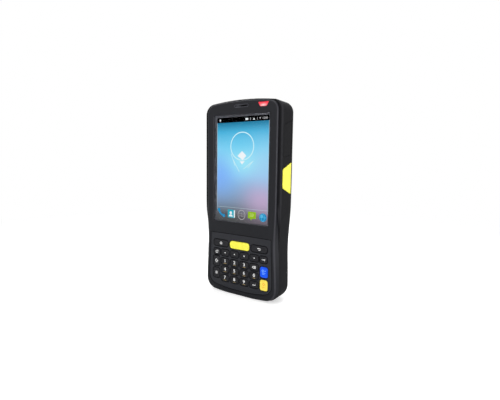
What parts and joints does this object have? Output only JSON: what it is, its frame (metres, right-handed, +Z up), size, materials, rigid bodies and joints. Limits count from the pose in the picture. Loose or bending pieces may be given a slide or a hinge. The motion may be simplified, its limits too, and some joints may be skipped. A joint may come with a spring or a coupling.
{
  "type": "portable barcode data terminal",
  "caption": "Handheld data terminal with touch screen, keypad, side scan keys, top scanner window and removable battery, for reading barcodes and entering data.",
  "frame": {"origin": "middle of the casing's box at its lowest level, on the flat foot of the bottom end", "axes": "+Z up along the casing, -Y out of the screen, +X to the right seen from the front"},
  "size_m": [0.0754, 0.026, 0.164],
  "materials": {
    "front_casing": "fine matt moulded plastic",
    "rear_casing": "fine textured moulded plastic",
    "keypad_plastic": "smooth matt plastic",
    "dark_key": "smooth matt plastic",
    "yellow_key": "satin plastic",
    "blue_key": "satin plastic",
    "orange_key": "satin plastic",
    "touch_glass": "clear with a black border",
    "display_panel": "lit picture",
    "black_foam": "closed cell foam",
    "grey_silicone": "moulded silicone",
    "black_rubber": "moulded elastomer",
    "red_lens": "clear tinted plastic",
    "scan_pane": "dark red tint",
    "camera_glass": "black rimmed pane",
    "flash_pane": "frosted",
    "stamped_steel": "tinned sheet",
    "dome_steel": "pressed sheet",
    "mesh_metal": "fine woven wire",
    "engine_metal": "die cast",
    "chassis_metal": "die cast",
    "screw_steel": "black zinc",
    "gold_contact": "gold plated",
    "green_board": "solder resist",
    "switch_black": "moulded",
    "battery_case": "wrapped cell"
  },
  "bodies": {
    "terminal": {"battery_contacts": "gold_contact", "camera_module": "switch_black", "camera_window": "camera_glass", "card_holder": "stamped_steel", "cradle_contacts": "gold_contact", "ear_mesh": "mesh_metal", "ear_receiver": "stamped_steel", "flash_lens": "flash_pane", "front_housing": "front_casing", "housing_screws": "screw_steel", "indicator_lens": "red_lens", "inner_chassis": "chassis_metal", "key_domes": "dome_steel", "keypad_board": "green_board", "keypad_mat": "grey_silicone", "keypad_panel": "keypad_plastic", "lcd_frame": "stamped_steel", "lcd_panel": "display_panel", "loudspeaker": "switch_black", "main_board": "green_board", "rear_housing": "rear_casing", "scan_engine": "engine_metal", "scan_window": "scan_pane", "screen_gasket": "black_foam", "shield_cans": "stamped_steel", "side_switches": "switch_black", "touch_glass": "touch_glass", "usb_socket": "stamped_steel"},
    "key_0": {"key_0": "dark_key"},
    "key_1": {"key_1": "dark_key"},
    "key_2": {"key_2": "dark_key"},
    "key_3": {"key_3": "dark_key"},
    "key_4": {"key_4": "dark_key"},
    "key_5": {"key_5": "dark_key"},
    "key_6": {"key_6": "dark_key"},
    "key_7": {"key_7": "dark_key"},
    "key_8": {"key_8": "dark_key"},
    "key_9": {"key_9": "dark_key"},
    "key_back": {"key_back": "dark_key"},
    "key_backspace": {"key_backspace": "dark_key"},
    "key_down": {"key_down": "dark_key"},
    "key_enter": {"key_enter": "dark_key"},
    "key_escape": {"key_escape": "dark_key"},
    "key_function_blue": {"key_function_blue": "blue_key"},
    "key_function_orange": {"key_function_orange": "orange_key"},
    "key_home": {"key_home": "dark_key"},
    "key_left": {"key_left": "dark_key"},
    "key_right": {"key_right": "dark_key"},
    "key_scan": {"key_scan": "yellow_key"},
    "key_shift": {"key_shift": "dark_key"},
    "key_symbol": {"key_symbol": "dark_key"},
    "key_tab": {"key_tab": "dark_key"},
    "key_up": {"key_up": "dark_key"},
    "right_scan_key": {"right_scan_key": "yellow_key"},
    "left_scan_key": {"left_scan_key": "yellow_key"},
    "volume_rocker": {"volume_rocker": "dark_key"},
    "port_cover": {"port_cover": "black_rubber"},
    "battery": {"battery_pack": "battery_case", "battery_cover": "rear_casing"},
    "battery_latch": {"battery_latch": "dark_key"}
  },
  "joints": [
    {"name": "key_0_press", "type": "slide", "parent": "terminal", "child": "key_0", "axis": [0, 1, 0], "range_m": [0, 0.0005], "stiffness_N_per_m": 1200},
    {"name": "key_1_press", "type": "slide", "parent": "terminal", "child": "key_1", "axis": [0, 1, 0], "range_m": [0, 0.0005], "stiffness_N_per_m": 1200},
    {"name": "key_2_press", "type": "slide", "parent": "terminal", "child": "key_2", "axis": [0, 1, 0], "range_m": [0, 0.0005], "stiffness_N_per_m": 1200},
    {"name": "key_3_press", "type": "slide", "parent": "terminal", "child": "key_3", "axis": [0, 1, 0], "range_m": [0, 0.0005], "stiffness_N_per_m": 1200},
    {"name": "key_4_press", "type": "slide", "parent": "terminal", "child": "key_4", "axis": [0, 1, 0], "range_m": [0, 0.0005], "stiffness_N_per_m": 1200},
    {"name": "key_5_press", "type": "slide", "parent": "terminal", "child": "key_5", "axis": [0, 1, 0], "range_m": [0, 0.0005], "stiffness_N_per_m": 1200},
    {"name": "key_6_press", "type": "slide", "parent": "terminal", "child": "key_6", "axis": [0, 1, 0], "range_m": [0, 0.0005], "stiffness_N_per_m": 1200},
    {"name": "key_7_press", "type": "slide", "parent": "terminal", "child": "key_7", "axis": [0, 1, 0], "range_m": [0, 0.0005], "stiffness_N_per_m": 1200},
    {"name": "key_8_press", "type": "slide", "parent": "terminal", "child": "key_8", "axis": [0, 1, 0], "range_m": [0, 0.0005], "stiffness_N_per_m": 1200},
    {"name": "key_9_press", "type": "slide", "parent": "terminal", "child": "key_9", "axis": [0, 1, 0], "range_m": [0, 0.0005], "stiffness_N_per_m": 1200},
    {"name": "key_back_press", "type": "slide", "parent": "terminal", "child": "key_back", "axis": [0, 1, 0], "range_m": [0, 0.0005], "stiffness_N_per_m": 1200},
    {"name": "key_backspace_press", "type": "slide", "parent": "terminal", "child": "key_backspace", "axis": [0, 1, 0], "range_m": [0, 0.0005], "stiffness_N_per_m": 1200},
    {"name": "key_down_press", "type": "slide", "parent": "terminal", "child": "key_down", "axis": [0, 1, 0], "range_m": [0, 0.0005], "stiffness_N_per_m": 1200},
    {"name": "key_enter_press", "type": "slide", "parent": "terminal", "child": "key_enter", "axis": [0, 1, 0], "range_m": [0, 0.0005], "stiffness_N_per_m": 1200},
    {"name": "key_escape_press", "type": "slide", "parent": "terminal", "child": "key_escape", "axis": [0, 1, 0], "range_m": [0, 0.0005], "stiffness_N_per_m": 1200},
    {"name": "key_function_blue_press", "type": "slide", "parent": "terminal", "child": "key_function_blue", "axis": [0, 1, 0], "range_m": [0, 0.0005], "stiffness_N_per_m": 1200},
    {"name": "key_function_orange_press", "type": "slide", "parent": "terminal", "child": "key_function_orange", "axis": [0, 1, 0], "range_m": [0, 0.0005], "stiffness_N_per_m": 1200},
    {"name": "key_home_press", "type": "slide", "parent": "terminal", "child": "key_home", "axis": [0, 1, 0], "range_m": [0, 0.0005], "stiffness_N_per_m": 1200},
    {"name": "key_left_press", "type": "slide", "parent": "terminal", "child": "key_left", "axis": [0, 1, 0], "range_m": [0, 0.0005], "stiffness_N_per_m": 1200},
    {"name": "key_right_press", "type": "slide", "parent": "terminal", "child": "key_right", "axis": [0, 1, 0], "range_m": [0, 0.0005], "stiffness_N_per_m": 1200},
    {"name": "key_scan_press", "type": "slide", "parent": "terminal", "child": "key_scan", "axis": [0, 1, 0], "range_m": [0, 0.0005], "stiffness_N_per_m": 1200},
    {"name": "key_shift_press", "type": "slide", "parent": "terminal", "child": "key_shift", "axis": [0, 1, 0], "range_m": [0, 0.0005], "stiffness_N_per_m": 1200},
    {"name": "key_symbol_press", "type": "slide", "parent": "terminal", "child": "key_symbol", "axis": [0, 1, 0], "range_m": [0, 0.0005], "stiffness_N_per_m": 1200},
    {"name": "key_tab_press", "type": "slide", "parent": "terminal", "child": "key_tab", "axis": [0, 1, 0], "range_m": [0, 0.0005], "stiffness_N_per_m": 1200},
    {"name": "key_up_press", "type": "slide", "parent": "terminal", "child": "key_up", "axis": [0, 1, 0], "range_m": [0, 0.0005], "stiffness_N_per_m": 1200},
    {"name": "right_scan_key_press", "type": "slide", "parent": "terminal", "child": "right_scan_key", "axis": [-1, 0, 0], "range_m": [0, 0.0008], "stiffness_N_per_m": 1500},
    {"name": "left_scan_key_press", "type": "slide", "parent": "terminal", "child": "left_scan_key", "axis": [1, 0, 0], "range_m": [0, 0.0008], "stiffness_N_per_m": 1500},
    {"name": "volume_rocker_tilt", "type": "hinge", "parent": "terminal", "child": "volume_rocker", "pos_m": [-0.0359, -0.002, 0.135], "axis": [0, 1, 0], "range_deg": [-3, 3], "stiffness_Nm_per_rad": 0.2},
    {"name": "port_cover_hinge", "type": "hinge", "parent": "terminal", "child": "port_cover", "pos_m": [0.0369, 0.004, 0.1332], "axis": [0, 0, 1], "range_deg": [0, 100]},
    {"name": "battery_lift", "type": "slide", "parent": "terminal", "child": "battery", "axis": [0, 1, 0], "range_m": [0, 0.03]},
    {"name": "battery_latch_slide", "type": "slide", "parent": "battery", "child": "battery_latch", "axis": [0, 0, 1], "range_m": [0, 0.003]}
  ]
}
